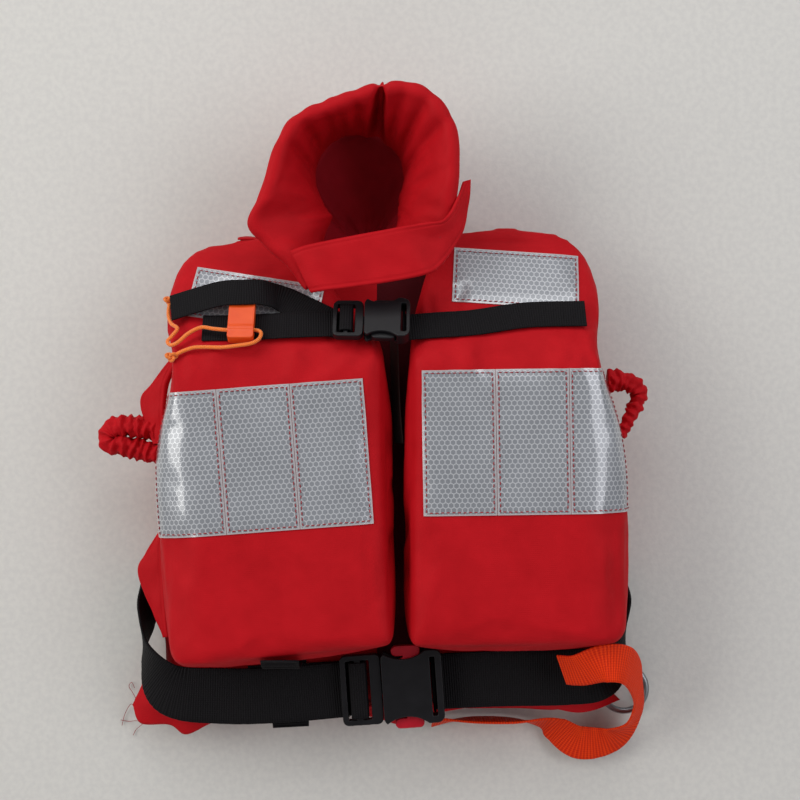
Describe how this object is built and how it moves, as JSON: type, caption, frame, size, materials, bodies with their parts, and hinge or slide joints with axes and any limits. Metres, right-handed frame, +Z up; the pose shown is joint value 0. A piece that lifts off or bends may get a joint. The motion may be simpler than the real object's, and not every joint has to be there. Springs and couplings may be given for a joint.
{
  "type": "life jacket",
  "caption": "Child's foam life jacket lying on its back: two front floats, back float, collar, chest and waist buckles, reflective strips, whistle and lifting loop.",
  "frame": {"origin": "centre of the footprint, on the surface that the jacket lies on", "axes": "+X across the jacket towards the wearer's left, +Y from the hem towards the collar, +Z up from the surface"},
  "size_m": [0.3785, 0.465, 0.1141],
  "materials": {
    "red_shell_cloth": "woven polyester, slight sheen",
    "red_lining_cloth": "woven polyester",
    "closed_cell_foam": "closed-cell polyethylene foam",
    "hook_and_loop": "pile and hooks",
    "reflective_tape": "honeycomb retro-reflective film",
    "black_webbing": "woven polypropylene webbing",
    "black_acetal": "moulded, fine texture",
    "red_acetal": "moulded, satin",
    "orange_plastic": "moulded",
    "orange_cord": "braided cord",
    "gathered_red_cloth": "shirred cloth",
    "elastic_core": "rubber and thread",
    "orange_webbing": "woven polyester webbing",
    "steel_ring": "polished steel",
    "label_cloth": "woven label"
  },
  "bodies": {
    "jacket": {"back_lining": "red_lining_cloth", "back_cover": "red_shell_cloth", "back_foam": "closed_cell_foam", "left_front_lining": "red_lining_cloth", "left_front_cover": "red_shell_cloth", "left_front_foam": "closed_cell_foam", "right_front_lining": "red_lining_cloth", "right_front_cover": "red_shell_cloth", "right_front_foam": "closed_cell_foam", "left_shoulder_yoke": "red_shell_cloth", "right_shoulder_yoke": "red_shell_cloth", "left_tape_outer": "reflective_tape", "left_tape_middle": "reflective_tape", "left_tape_inner": "reflective_tape", "right_tape_inner": "reflective_tape", "right_tape_middle": "reflective_tape", "right_tape_outer": "reflective_tape", "left_shoulder_tape": "reflective_tape", "right_shoulder_tape": "reflective_tape", "waist_belt_rear": "black_webbing", "waist_belt_left": "black_webbing", "waist_belt_right": "black_webbing", "belt_tab": "black_webbing", "waist_socket": "black_acetal", "chest_strap_left": "black_webbing", "chest_strap_right": "black_webbing", "chest_socket": "black_acetal", "lanyard_anchor": "orange_cord", "left_elastic_sleeve": "gathered_red_cloth", "left_elastic_core": "elastic_core", "right_elastic_sleeve": "gathered_red_cloth", "right_elastic_core": "elastic_core", "lifting_loop": "orange_webbing", "loop_ring": "steel_ring", "inner_label": "label_cloth"},
    "collar": {"collar_cover": "red_shell_cloth", "collar_foam": "closed_cell_foam", "loop_patch": "hook_and_loop"},
    "neck_band": {"neck_band": "red_shell_cloth", "hook_patch": "hook_and_loop"},
    "waist_plug": {"waist_plug": "black_acetal", "waist_belt_tail": "black_webbing"},
    "waist_upper_tab": {"waist_tab_upper": "red_acetal"},
    "waist_lower_tab": {"waist_tab_lower": "red_acetal"},
    "chest_plug": {"chest_plug": "black_acetal", "chest_strap_tail": "black_webbing"},
    "chest_upper_tab": {"chest_tab_upper": "black_acetal"},
    "chest_lower_tab": {"chest_tab_lower": "black_acetal"},
    "whistle": {"whistle": "orange_plastic", "lanyard": "orange_cord", "lanyard_knot": "orange_cord"}
  },
  "joints": [
    {"name": "collar_fold", "type": "hinge", "parent": "jacket", "child": "collar", "pos_m": [0, 0.128, 0.04], "axis": [1, 0, 0], "range_deg": [-10, 8]},
    {"name": "neck_band_open", "type": "hinge", "parent": "collar", "child": "neck_band", "pos_m": [-0.05, 0.103, 0.111], "axis": [0.175, -0.9846, 0], "range_deg": [0, 110]},
    {"name": "waist_release", "type": "slide", "parent": "jacket", "child": "waist_plug", "axis": [-0.9976, -0.0698, 0], "range_m": [0, 0.036], "deforming": ["waist_belt_left"]},
    {"name": "waist_upper_squeeze", "type": "hinge", "parent": "waist_plug", "child": "waist_upper_tab", "pos_m": [-0.00054, -0.163, 0.0525], "axis": [0, 0, -1], "range_deg": [0, 6], "stiffness_Nm_per_rad": 0.4},
    {"name": "waist_lower_squeeze", "type": "hinge", "parent": "waist_plug", "child": "waist_lower_tab", "pos_m": [0.00105, -0.18575, 0.0525], "axis": [0, 0, 1], "range_deg": [0, 6], "stiffness_Nm_per_rad": 0.4},
    {"name": "chest_release", "type": "slide", "parent": "jacket", "child": "chest_plug", "axis": [-0.9998, 0.0148, -0.0092], "range_m": [0, 0.026], "deforming": ["chest_strap_left", "chest_strap_tail"]},
    {"name": "chest_upper_squeeze", "type": "hinge", "parent": "chest_plug", "child": "chest_upper_tab", "pos_m": [-0.01094, 0.07775, 0.09115], "axis": [0, -0.5269, -0.8499], "range_deg": [0, 4], "stiffness_Nm_per_rad": 0.2},
    {"name": "chest_lower_squeeze", "type": "hinge", "parent": "chest_plug", "child": "chest_lower_tab", "pos_m": [-0.01115, 0.06755, 0.09748], "axis": [0, 0.5269, 0.8499], "range_deg": [0, 4], "stiffness_Nm_per_rad": 0.2},
    {"name": "whistle_swing", "type": "hinge", "parent": "jacket", "child": "whistle", "pos_m": [-0.142, 0.08433, 0.07425], "axis": [0, -0.5269, -0.8499], "range_deg": [0, 25], "deforming": ["lanyard"]}
  ],
  "couplings": [
    {"joint": "waist_lower_squeeze", "follows": "waist_upper_squeeze", "ratio": 1},
    {"joint": "chest_lower_squeeze", "follows": "chest_upper_squeeze", "ratio": 1}
  ]
}
